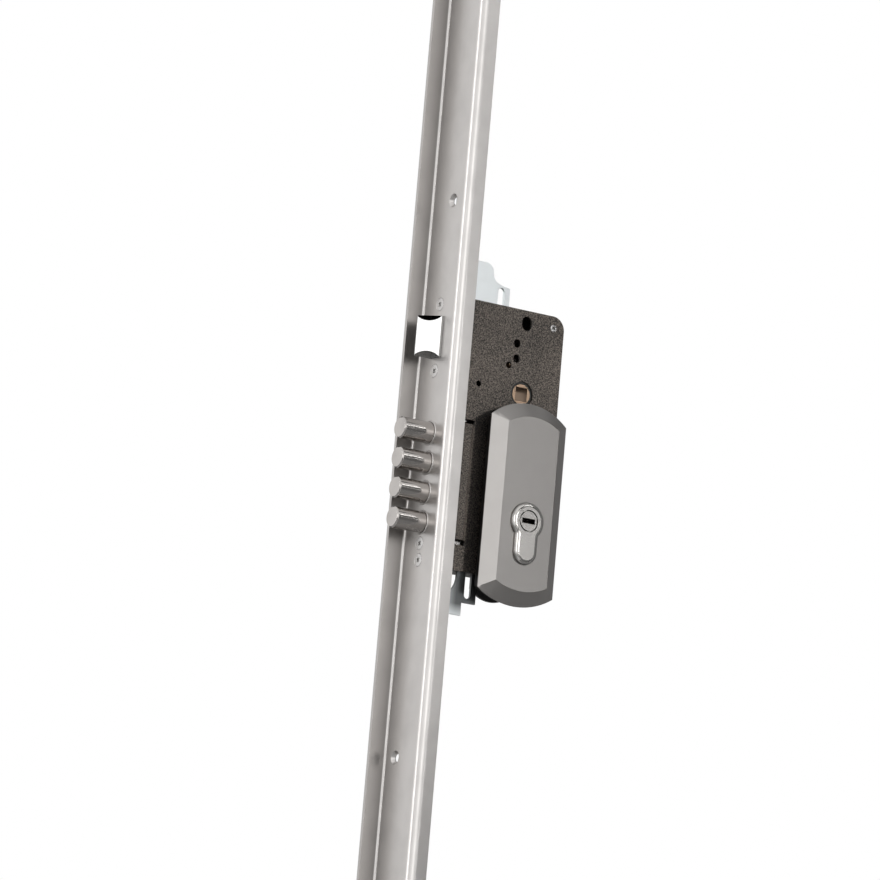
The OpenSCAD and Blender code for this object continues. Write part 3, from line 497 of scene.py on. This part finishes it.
@dataclass(frozen=True)
class MetalFinish:
    """A bare or plated metal.

    Attributes:
        name: Name of the material.
        color: Colour of the metal.
        sheen: How it has been finished.
        stretch: Grain lines per metre along each axis.
        grain: Strength of the grain relief.
        shade: How far patches darken the colour.
        spread: How far patches change the roughness.
        patch: Patches per metre.
        fold_shade: How far painted shade darkens the inside of the bend in front of X = 0.
        below_case_shade: How far a painted dark reflection darkens the part just below the case.
        facing: The way of the faces that the painted shade leaves alone.
        flank_shade: How far painted shade darkens faces that look another way.
    """

    name: str
    color: Color
    sheen: Sheen
    stretch: Point = (900.0, 900.0, 900.0)
    grain: float = 0.05
    shade: float = 0.12
    spread: float = 0.08
    patch: float = 60.0
    fold_shade: float = 0.0
    below_case_shade: float = 0.0
    facing: Point = (0.0, -1.0, 0.0)
    flank_shade: float = 0.0

    @staticmethod
    def fold_shade_mask(graph: ShaderGraph) -> Socket:
        """Marks where painted shade darkens the inside of the far bend, more so towards the web.

        Args:
            graph: The graph of the material.

        Returns:
            The mask.
        """
        x = graph.along("X")
        deeper = graph.ramp(x, low=-12.0 * MM, high=-2.0 * MM, to_low=0.35)
        in_front = graph.ramp(x, low=-1.4 * MM, high=-0.6 * MM, to_low=1.0, to_high=0.0)
        return graph.math("MULTIPLY", deeper, in_front)

    @staticmethod
    def below_case_shade_mask(graph: ShaderGraph) -> Socket:
        """Marks where a painted dark reflection falls on what comes out below the case, less so at its end
        and towards the forend.

        Args:
            graph: The graph of the material.

        Returns:
            The mask.
        """
        z = graph.along("Z")
        near_case = graph.ramp(z, low=-66.0 * MM, high=-57.0 * MM)
        below = graph.ramp(z, low=-36.0 * MM, high=-28.0 * MM, to_low=1.0, to_high=0.0)
        inward = graph.ramp(graph.along("X"), low=18.0 * MM, high=27.0 * MM, to_low=0.45)
        return graph.math("MULTIPLY", graph.math("MULTIPLY", near_case, below), inward)

    def flank_shade_mask(self, graph: ShaderGraph) -> Socket:
        """Marks the faces that look away from the set way, where painted shade falls.

        Args:
            graph: The graph of the material.

        Returns:
            The mask.
        """
        coord = graph.add("ShaderNodeTexCoord")
        turn = graph.add("ShaderNodeVectorMath", operation="DOT_PRODUCT")
        graph.link(coord.outputs["Normal"], turn.inputs[0])
        turn.inputs[1].default_value = self.facing
        return graph.ramp(turn.outputs["Value"], low=0.70, high=0.85, to_low=1.0, to_high=0.0)

    def build(self) -> bpy.types.Material:
        """Makes the material.

        Returns:
            The material.
        """
        mat, shader = new_material(self.name)
        graph = ShaderGraph(mat.node_tree)
        shader.inputs["Metallic"].default_value = 1.0
        grain = graph.add("ShaderNodeGroup", node_tree=SurfaceGroups.grain())
        graph.link(graph.mapped(self.stretch), grain.inputs["Vector"])
        smudge = graph.add("ShaderNodeGroup", node_tree=SurfaceGroups.smudge())
        smudge.inputs["Scale"].default_value = self.patch
        tint = graph.mix(smudge.outputs["Mask"], self.color, darker(self.color, self.shade))
        # Painted shade inside the far bend of the forend
        if self.fold_shade > 0:
            tint = graph.mix(self.fold_shade_mask(graph), tint, darker(self.color, self.fold_shade))
        # Painted dark reflection on the metal just below the case
        if self.below_case_shade > 0:
            tint = graph.mix(self.below_case_shade_mask(graph), tint, darker(self.color, self.below_case_shade))
        # Painted shade on faces that look away from the set way
        if self.flank_shade > 0:
            tint = graph.mix(self.flank_shade_mask(graph), tint, darker(self.color, self.flank_shade))
        graph.link(tint, shader.inputs["Base Color"])
        clean = self.sheen.value - self.spread / 2
        wear = graph.math("ADD", smudge.outputs["Mask"], grain.outputs["Mask"])
        rough = graph.ramp(wear, low=0.0, high=2.0, to_low=clean, to_high=clean + self.spread * FULL_WEAR)
        graph.link(rough, shader.inputs["Roughness"])
        bump = graph.add("ShaderNodeBump")
        bump.inputs["Strength"].default_value = self.grain
        bump.inputs["Distance"].default_value = GRAIN_DEPTH
        graph.link(grain.outputs["Height"], bump.inputs["Height"])
        graph.link(bump.outputs["Normal"], shader.inputs["Normal"])
        return mat


@dataclass(frozen=True)
class HammertonePaint:
    """Stove paint that has drawn into fine hammered grain.

    Attributes:
        name: Name of the material.
        base: Colour of the hollows.
        flake: Colour of the raised grain.
        contrast: The values between which hollow turns to flake.
        grain: Grains per metre.
        drift: Lighter and darker patches per metre.
        drift_share: How much the patches count.
        relief: Height of the grain.
        relief_strength: Strength of the grain's relief.
        rough: Roughness of the hollows and of the raised grain.
        gloss: Strength of the reflection.
    """

    name: str = "hammertone_paint"
    base: Color = (0.012, 0.011, 0.010)
    flake: Color = (0.150, 0.127, 0.108)
    contrast: tuple[float, float] = (0.40, 0.68)
    grain: float = 1150.0
    drift: float = 26.0
    drift_share: float = 0.22
    relief: float = 0.3 * MM
    relief_strength: float = 0.55
    rough: tuple[float, float] = (0.55, 0.36)
    gloss: float = 0.35

    def build(self) -> bpy.types.Material:
        """Makes the material.

        Returns:
            The material.
        """
        mat, shader = new_material(self.name)
        graph = ShaderGraph(mat.node_tree)
        where = graph.mapped((1.0, 1.0, 1.0))
        grain = graph.noise(where, scale=self.grain, detail=2.0, rough=0.65)
        drift = graph.math("SUBTRACT", graph.noise(where, scale=self.drift, detail=2.0), 0.5)
        value = graph.math("ADD", grain, graph.math("MULTIPLY", drift, self.drift_share))
        tint = graph.mix(graph.ramp(value, *self.contrast), self.base, self.flake)
        graph.link(tint, shader.inputs["Base Color"])
        hollow, raised = self.rough
        rough = graph.ramp(grain, low=0.35, high=0.65, to_low=hollow, to_high=raised)
        graph.link(rough, shader.inputs["Roughness"])
        shader.inputs["Specular IOR Level"].default_value = self.gloss
        bump = graph.add("ShaderNodeBump")
        bump.inputs["Strength"].default_value = self.relief_strength
        bump.inputs["Distance"].default_value = self.relief
        graph.link(grain, bump.inputs["Height"])
        graph.link(bump.outputs["Normal"], shader.inputs["Normal"])
        return mat


@dataclass(frozen=True)
class PlainFinish:
    """A paint or plastic of one colour with a little dust.

    Attributes:
        name: Name of the material.
        color: Colour of the surface.
        rough: Roughness.
        metallic: 1 for metallic paint, 0 for plastic.
        dust: Patches of dust per metre.
        dust_gain: How many times lighter dust makes the colour.
        dust_color: What dust adds to the colour besides.
        dust_rough: How far clean and dusty places differ from the roughness.
    """

    name: str
    color: Color
    rough: float
    metallic: float = 0.0
    dust: float = 90.0
    dust_gain: float = 1.25
    dust_color: float = 0.004
    dust_rough: tuple[float, float] = (-0.04, 0.06)

    def build(self) -> bpy.types.Material:
        """Makes the material.

        Returns:
            The material.
        """
        mat, shader = new_material(self.name)
        graph = ShaderGraph(mat.node_tree)
        smudge = graph.add("ShaderNodeGroup", node_tree=SurfaceGroups.smudge())
        smudge.inputs["Scale"].default_value = self.dust
        light = tuple(min(1.0, c * self.dust_gain + self.dust_color) for c in self.color)
        graph.link(graph.mix(smudge.outputs["Mask"], self.color, light), shader.inputs["Base Color"])
        clean, dusty = (self.rough + change for change in self.dust_rough)
        rough = graph.ramp(smudge.outputs["Mask"], low=0.0, high=1.0, to_low=clean, to_high=dusty)
        graph.link(rough, shader.inputs["Roughness"])
        shader.inputs["Metallic"].default_value = self.metallic
        return mat


@dataclass
class FinishBook:
    """Every finish of the lock by its slot.

    Attributes:
        made: The finishes, once they are built.
        along_z: Grain lines per metre of a surface that is brushed along Z.
        round_x: Grain lines per metre of a bar that is turned round X.
    """

    made: dict[Slot, bpy.types.Material] = field(default_factory=dict)
    along_z: Point = (1400.0, 1400.0, 24.0)
    round_x: Point = (40.0, 1600.0, 1600.0)

    def build(self) -> None:
        """Makes all finishes."""
        self.made = {
            # The forend gets painted shade inside its far bend
            Slot.FOREND: MetalFinish("satin_stainless", (0.58, 0.56, 0.545), Sheen.BRUSHED, self.along_z,
                                     grain=0.10, shade=0.06, spread=0.04, fold_shade=0.58).build(),
            Slot.CASE: HammertonePaint().build(),
            Slot.BOLT: MetalFinish("polished_bolt_steel", (0.50, 0.475, 0.455), Sheen.POLISHED,
                                   self.round_x).build(),
            # The latch gets painted shade on its faces other than the slant
            Slot.LATCH: MetalFinish("bright_latch_plating", (0.80, 0.80, 0.79), Sheen.BRIGHT, shade=0.04,
                                    facing=(-0.75, -0.66, 0.0), flank_shade=0.62).build(),
            # The zinc gets a painted dark reflection just below the case
            Slot.ZINC: MetalFinish("bright_zinc_plating", (0.84, 0.875, 0.885), Sheen.SATIN, grain=0.01,
                                   spread=0.02, patch=25.0, below_case_shade=0.84).build(),
            # The follower gets painted shade inside its square bore and on its sides
            Slot.COPPER: MetalFinish("copper_tinted_follower", (0.50, 0.355, 0.25), Sheen.SATIN, grain=0.01,
                                     spread=0.015, flank_shade=0.6).build(),
            Slot.NYLON: PlainFinish("black_nylon_bush", (0.010, 0.010, 0.009), 0.45).build(),
            Slot.STEEL: MetalFinish("turned_steel", (0.66, 0.65, 0.64), Sheen.BRIGHT).build(),
            Slot.BRASS: MetalFinish("cut_brass", (0.60, 0.45, 0.20), Sheen.BRIGHT).build(),
            # The guard gets painted shade on its sloped sides
            Slot.NICKEL: MetalFinish("polished_nickel", (0.53, 0.515, 0.495), Sheen.POLISHED,
                                     shade=0.05, flank_shade=0.4).build(),
            Slot.ESCUTCHEON: MetalFinish("satin_grey_escutcheon", (0.365, 0.35, 0.338), Sheen.SATIN,
                                         shade=0.02, spread=0.02).build(),
            Slot.DARK: PlainFinish("black_oxide", (0.022, 0.021, 0.020), 0.42, metallic=0.4).build(),
        }

    def dress_nodes(self) -> None:
        """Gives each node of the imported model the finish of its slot."""
        for part in frame["record"]["subparts"]:
            paint(frame["nodes"][part["node"]], self.made[Slot(part["material_slot"])])


# Sub-assemblies


@dataclass
class MetalWork:
    """Nodes that are shown with joined, smooth faces and rounded edges.

    Attributes:
        finishes: The finishes of the lock.
        own: Nodes that another class shows.
        wide: Nodes whose edges are rounded more than the rest.
    """

    finishes: FinishBook
    own: tuple[str, ...] = ("latch_spring", "cylinder_protector")
    wide: dict[str, float] = field(default_factory=lambda: {
        "escutcheon": 0.3 * MM, "forend": 0.2 * MM, "case_cover": 0.35 * MM})

    def dress(self, node: str, body: str, slot: Slot, width: float) -> None:
        """Shows a node as a merged piece with rounded edges.

        Args:
            node: The node.
            body: The body that it belongs to.
            slot: The slot of its finish.
            width: Width of the edge rounding in metres.
        """
        piece = merged_copy(node, f"{node}_dressed")
        bevel_edges(piece, width, EDGE_ANGLE)
        smooth(piece, EDGE_ANGLE)
        even_normals(piece)
        paint(piece, self.finishes.made[slot])
        add_piece(piece, body, slot, node)

    def build(self) -> None:
        """Dresses every node that has no piece of its own."""
        bodies = frame["record"]["behaviour"]["bodies"]
        body_of = {node: body for body, nodes in bodies.items() for node in nodes}
        for part in frame["record"]["subparts"]:
            node = part["node"]
            if node not in self.own:
                width = self.wide.get(node, PLAIN_EDGE)
                self.dress(node, body_of[node], Slot(part["material_slot"]), width)


@dataclass
class LatchSpring:
    """The coil behind the latch, which shortens as the latch goes in.

    Attributes:
        finishes: The finishes of the lock.
        seat: Where its fixed end rests, as X in metres; not used.
        travel: How far the latch goes in; not used.
    """

    finishes: FinishBook
    seat: float = 35.0 * MM
    travel: float = 12.0 * MM

    def build(self) -> None:
        """Rounds the coil."""
        piece = merged_copy("latch_spring", "latch_spring_coil")
        take(piece)
        mod = piece.modifiers.new("round", "SUBSURF")
        mod.levels = 1
        bpy.ops.object.modifier_apply(modifier=mod.name)
        smooth(piece, ROUND_FORM_ANGLE)
        paint(piece, self.finishes.made[Slot.STEEL])
        add_piece(piece, "lock", Slot.STEEL, "latch_spring")
        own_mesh(piece)


@dataclass
class Protector:
    """Polished guard in the outline of a profile cylinder, curved in to a flat face round the plug.

    Attributes:
        finishes: The finishes of the lock.
        axis_x: Place of the cylinder axis.
        head: Radius of its head.
        foot: Radius of its foot.
        foot_drop: Axis down to the middle of the foot.
        neck: Radius of the hollow corners between head and foot.
        slope: Width of the curved edge.
        slope_height: Height of the curved edge.
        slope_steps: Facets across the curved edge.
        plug_hole: Radius of the hole round the plug.
        wall: Thickness of the face.
        inner_head: Radius of the round of the cylinder that it covers.
        inner_foot: Radius of the foot of that cylinder.
        inner_neck: Radius of the hollow corners of the cavity.
        play: Gap round the cylinder inside.
        overcut: How far the cutting solids stand past the guard.
        edge_angle: Edges sharper than this many degrees are rounded.
        smooth_angle: Faces that meet at less than this many degrees are shaded smooth.
    """

    finishes: FinishBook
    axis_x: float = 63.0 * MM
    head: float = 12.1 * MM
    foot: float = 8.6 * MM
    foot_drop: float = 19.5 * MM
    neck: float = 3.0 * MM
    slope: float = 4.8 * MM
    slope_height: float = 2.8 * MM
    slope_steps: int = 9
    plug_hole: float = 7.1 * MM
    wall: float = 1.8 * MM
    inner_head: float = 8.5 * MM
    inner_foot: float = 5.0 * MM
    inner_neck: float = 0.3 * MM
    play: float = 0.125 * MM
    overcut: float = 1.0 * MM
    edge_angle: float = 40.0
    smooth_angle: float = 35.0

    def outline(self, head: float, foot: float, neck: float) -> list[tuple[float, float]]:
        """Gives the outline of a profile cylinder, anticlockwise from the right end of its head.

        Args:
            head: Radius of the head.
            foot: Radius of the foot.
            neck: Radius of the two hollow corners.

        Returns:
            Points as X and Z from the cylinder axis.
        """
        side = foot + neck
        drop = -math.sqrt((head + neck) ** 2 - side ** 2)
        lean = math.atan2(-drop, side)
        # Centre, radius, first and last angle, parts, points: the head leaves its last point to the neck
        arcs = (
            (0.0, 0.0, head, -lean, math.pi + lean, 72, 72),
            (-side, drop, neck, lean, 0.0, 7, 8),
            (0.0, -self.foot_drop, foot, math.pi, 2 * math.pi, 39, 40),
            (side, drop, neck, math.pi, math.pi - lean, 7, 8),
        )
        points = []
        for x, z, radius, start, end, parts, count in arcs:
            for step in range(count):
                turn = start + (end - start) * step / parts
                points.append((x + radius * math.cos(turn), z + radius * math.sin(turn)))
        return points

    def profile(self, name: str, head: float, foot: float, neck: float,
                y0: float, y1: float) -> bpy.types.Object:
        """Makes a solid in the outline of a profile cylinder.

        Args:
            name: Name of the object.
            head: Radius of the head.
            foot: Radius of the foot.
            neck: Radius of the two hollow corners.
            y0: Its near end.
            y1: Its far end.

        Returns:
            The solid.
        """
        points = self.outline(head, foot, neck)
        deselect_everything()
        bpy.ops.mesh.primitive_circle_add(vertices=len(points), radius=head, fill_type="NGON")
        made = bpy.context.object
        made.name = name
        for vertex, (x, z) in zip(made.data.vertices, points):
            vertex.co = (self.axis_x + x, y0, z)
        take(made)
        bpy.ops.object.mode_set(mode="EDIT")
        bpy.ops.mesh.select_all(action="SELECT")
        bpy.ops.mesh.remove_doubles(threshold=MERGE_DISTANCE)
        bpy.ops.mesh.extrude_region_move(TRANSFORM_OT_translate={"value": (0.0, y1 - y0, 0.0)})
        bpy.ops.mesh.select_all(action="SELECT")
        bpy.ops.mesh.normals_make_consistent(inside=False)
        bpy.ops.object.mode_set(mode="OBJECT")
        return made

    def build(self) -> None:
        """Builds the guard over its node."""
        low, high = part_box("cylinder_protector")
        front, back = low[1], high[1]
        base = front + self.slope_height
        start = base - self.slope
        guard = self.profile("guard_shell", self.head, self.foot, self.neck, start, back)
        pick_edges(guard, lambda a, b: abs(a.y - start) < SAME_PLACE and abs(b.y - start) < SAME_PLACE)
        bpy.ops.mesh.bevel(offset=self.slope, segments=self.slope_steps, affect="EDGES", clamp_overlap=True)
        bpy.ops.object.mode_set(mode="OBJECT")
        for vertex in guard.data.vertices:
            if vertex.co.y < base:
                vertex.co.y = base + (vertex.co.y - base) * self.slope_height / self.slope
        past = back + self.overcut
        cut(guard, self.profile("cavity", self.inner_head + self.play, self.inner_foot + self.play,
                                self.inner_neck, front + self.wall, past))
        cut(guard, round_bar("plug_way", self.axis_x, 0.0, self.plug_hole, front - self.overcut, past))
        bevel_edges(guard, PLAIN_EDGE, self.edge_angle)
        smooth(guard, self.smooth_angle)
        even_normals(guard)
        paint(guard, self.finishes.made[Slot.NICKEL])
        add_piece(guard, "lock", Slot.NICKEL, "cylinder_protector")


@dataclass
class BoltLips:
    """Raised lips that the press leaves round the bolt holes of the forend.

    Attributes:
        finishes: The finishes of the lock.
        gap: Clearance between a bolt and the inside of its lip.
        bead: Radius of a lip's rounded section.
        around: Facets round a hole.
        across: Facets round the section.
    """

    finishes: FinishBook
    gap: float = 0.25 * MM
    bead: float = 0.45 * MM
    around: int = 72
    across: int = 14

    def build(self) -> None:
        """Builds the lips as one piece on the forend."""
        deselect_everything()
        lips = []
        for number in range(1, 5):
            low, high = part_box(f"deadbolt_{number}")
            radius = (high[1] - low[1]) / 2
            bpy.ops.mesh.primitive_torus_add(
                major_radius=radius + self.gap + self.bead, minor_radius=self.bead,
                major_segments=self.around, minor_segments=self.across,
                location=(0.0, (low[1] + high[1]) / 2, (low[2] + high[2]) / 2),
                rotation=(0.0, math.radians(90), 0.0))
            settle(bpy.context.object)
            lips.append(bpy.context.object)
        deselect_everything()
        for lip in lips:
            lip.select_set(True)
        bpy.context.view_layer.objects.active = lips[0]
        bpy.ops.object.join()
        lips[0].name = "bolt_hole_lips"
        smooth(lips[0], ROUND_FORM_ANGLE)
        paint(lips[0], self.finishes.made[Slot.FOREND])
        add_piece(lips[0], "lock", Slot.FOREND)


# Studio


@dataclass(frozen=True)
class Lamp:
    """A soft box that faces the lock.

    Attributes:
        name: Name of the lamp.
        place: Where it hangs.
        size: Width and height of its front.
        watts: Power.
    """

    name: str
    place: Point
    size: tuple[float, float]
    watts: float

    def build(self, center: Vector) -> None:
        """Hangs the lamp and turns it to the middle of the lock.

        Args:
            center: The middle of the lock.
        """
        data = bpy.data.lights.new(self.name, "AREA")
        data.shape = "RECTANGLE"
        data.size, data.size_y = self.size
        data.energy = self.watts
        obj = bpy.data.objects.new(self.name, data)
        bpy.context.scene.collection.objects.link(obj)
        obj.location = self.place
        aim = center - Vector(self.place)
        obj.rotation_euler = aim.to_track_quat("-Z", "Y").to_euler()
        obj.visible_glossy = False


@dataclass(frozen=True)
class Card:
    """A card that the metal reflects and the camera doesn't see.

    Attributes:
        name: Name of the card.
        toward: Direction in which it stands from the lock.
        size: Width and height.
        tone: Brightness of the card, 1 for white.
        away: Its distance.
    """

    name: str
    toward: Point
    size: tuple[float, float]
    tone: float
    away: float = 2.6

    def build(self, center: Vector) -> None:
        """Stands the card and turns it to the middle of the lock.

        Args:
            center: The middle of the lock.
        """
        place = center + Vector(self.toward).normalized() * self.away
        deselect_everything()
        bpy.ops.mesh.primitive_plane_add(size=1.0, location=place)
        card = bpy.context.object
        card.name = self.name
        card.scale = (*self.size, 1.0)
        card.rotation_euler = (center - place).to_track_quat("Z", "Y").to_euler()
        settle(card)
        mat, shader = new_material(self.name)
        shader.inputs["Base Color"].default_value = BLACK
        shader.inputs["Specular IOR Level"].default_value = 0.0
        shader.inputs["Emission Color"].default_value = WHITE
        shader.inputs["Emission Strength"].default_value = self.tone
        paint(card, mat)
        card.visible_camera = False
        card.visible_shadow = False
        card.visible_diffuse = False
        card.visible_transmission = False


LAMPS = (
    Lamp("key", (1.16, -2.59, 0.71), (0.3, 0.3), 78.0),
    Lamp("back", (0.8, 2.6, 1.2), (1.2, 1.2), 45.0),
)
CARDS = (
    # Left of the lock: the web of the forend and the slants of the latch and the escutcheon
    Card("front_wall", (-0.60, -0.80, 0.0), (1.4, 2.2), 1.35, 2.7),
    Card("front_softbox", (-0.36, -0.92, 0.16), (0.8, 0.9), 2.9, 2.4),
    Card("left_strip", (-0.99, 0.08, 0.05), (0.42, 3.2), 5.0),
    Card("left_flag", (-0.98, -0.19, 0.05), (0.34, 3.2), 0.4),
    Card("latch_card", (-0.89, -0.42, 0.18), (0.5, 0.7), 2.0, 2.5),
    # In front of the lock and right of it: the near flange, the escutcheon, the guard and the bolts
    Card("front_right_wall", (0.56, -0.83, 0.05), (1.7, 2.6), 0.16, 2.7),
    Card("key_front", (0.37, -0.91, 0.15), (0.44, 0.32), 7.8, 2.45),
    Card("bolt_strip", (0.53, -0.74, 0.41), (0.5, 0.08), 8.0, 2.4),
    Card("guard_card", (0.485, -0.66, 0.055), (0.14, 0.11), 0.85, 0.82),
    Card("right_flag", (0.97, -0.07, 0.15), (3.4, 4.0), 0.26),
    # Above: the upper chamfer, and the dark wedge in the bolts
    Card("top_flag", (0.35, -0.15, 0.92), (3.0, 2.0), 0.58),
    Card("top_rear_flag", (0.45, 0.62, 0.64), (3.0, 1.9), 0.03, 2.5),
    Card("bolt_flag_front", (0.53, -0.45, 0.72), (1.25, 0.24), 0.02, 2.1),
    Card("bolt_flag_top", (0.53, 0.02, 0.85), (1.0, 0.24), 0.02, 2.1),
    # Below: the lower chamfer and whatever else faces down
    Card("low_flag", (0.50, -0.44, -0.74), (1.3, 1.0), 0.27, 1.0),
    Card("rear_low_flag", (0.15, 0.83, -0.42), (1.9, 1.0), 0.15, 1.6),
)


@dataclass
class Studio:
    """Floor, lamps, cards, world and camera.

    Attributes:
        center: The point that the camera looks at.
        right: The way that the right of the picture points.
        up: The way that the top of the picture points.
        distance: Camera to center.
        view_width: Width of the picture at center.
        far: How far the camera sees.
        floor_z: Height of the floor.
        floor_size: Length of the floor's sides.
        floor_tone: Brightness of the floor.
        floor_rough: Roughness of the floor.
        sky: Brightness of the light from all round.
    """

    center: Point = (0.00867, -0.00031, 0.04655)
    right: Point = (0.8321, -0.5482, 0.0840)
    up: Point = (-0.16775, -0.10434, 0.98027)
    distance: float = 3.6
    view_width: float = 0.562
    far: float = 50.0
    floor_z: float = -0.95
    floor_size: float = 14.0
    floor_tone: float = 0.86
    floor_rough: float = 0.7
    sky: float = 0.06

    def camera(self) -> None:
        """Places the camera of the photograph."""
        right = Vector(self.right).normalized()
        up = Vector(self.up)
        up = (up - right * up.dot(right)).normalized()
        back = right.cross(up)
        data = bpy.data.cameras.new("camera")
        data.sensor_width = SENSOR_WIDTH
        data.lens = SENSOR_WIDTH * self.distance / self.view_width
        data.clip_end = self.far
        obj = bpy.data.objects.new("camera", data)
        bpy.context.scene.collection.objects.link(obj)
        turn = Matrix((right, up, back)).transposed().to_4x4()
        place = Vector(self.center) + back * self.distance
        obj.matrix_world = Matrix.Translation(place) @ turn
        bpy.context.scene.camera = obj

    def world(self) -> None:
        """Lights all round softly and shows white behind the lock."""
        world = bpy.data.worlds.new("studio")
        bpy.context.scene.world = world
        world.use_nodes = True
        tree = world.node_tree
        graph = ShaderGraph(tree)
        soft = tree.nodes["Background"]
        soft.inputs["Color"].default_value = WHITE
        soft.inputs["Strength"].default_value = self.sky
        white = graph.add("ShaderNodeBackground")
        white.inputs["Color"].default_value = WHITE
        path = graph.add("ShaderNodeLightPath")
        seen = graph.math("MAXIMUM", path.outputs["Is Camera Ray"],
                          graph.math("MAXIMUM", path.outputs["Is Transmission Ray"],
                                     path.outputs["Is Glossy Ray"]))
        mixer = graph.add("ShaderNodeMixShader")
        graph.link(seen, mixer.inputs[0])
        graph.link(soft.outputs["Background"], mixer.inputs[1])
        graph.link(white.outputs["Background"], mixer.inputs[2])
        graph.link(mixer.outputs["Shader"], tree.nodes["World Output"].inputs["Surface"])

    def floor(self) -> None:
        """Lays a plain pale floor below the lock."""
        deselect_everything()
        bpy.ops.mesh.primitive_plane_add(size=self.floor_size, location=(0.0, 0.0, self.floor_z))
        floor = bpy.context.object
        floor.name = "studio_floor"
        mat, shader = new_material("pale_floor")
        shader.inputs["Base Color"].default_value = (*[self.floor_tone] * 3, 1.0)
        shader.inputs["Roughness"].default_value = self.floor_rough
        paint(floor, mat)

    def build(self) -> None:
        """Builds the studio."""
        bpy.context.scene.view_settings.view_transform = "Standard"
        self.world()
        self.floor()
        for light in LAMPS + CARDS:
            light.build(Vector(self.center))
        self.camera()


def main() -> None:
    """Builds the lock and its studio in order."""
    logging.basicConfig(level=logging.INFO)
    finishes = FinishBook()
    finishes.build()
    finishes.dress_nodes()
    MetalWork(finishes).build()
    LatchSpring(finishes).build()
    Protector(finishes).build()
    BoltLips(finishes).build()
    Studio().build()


if __name__ == "__main__":
    main()
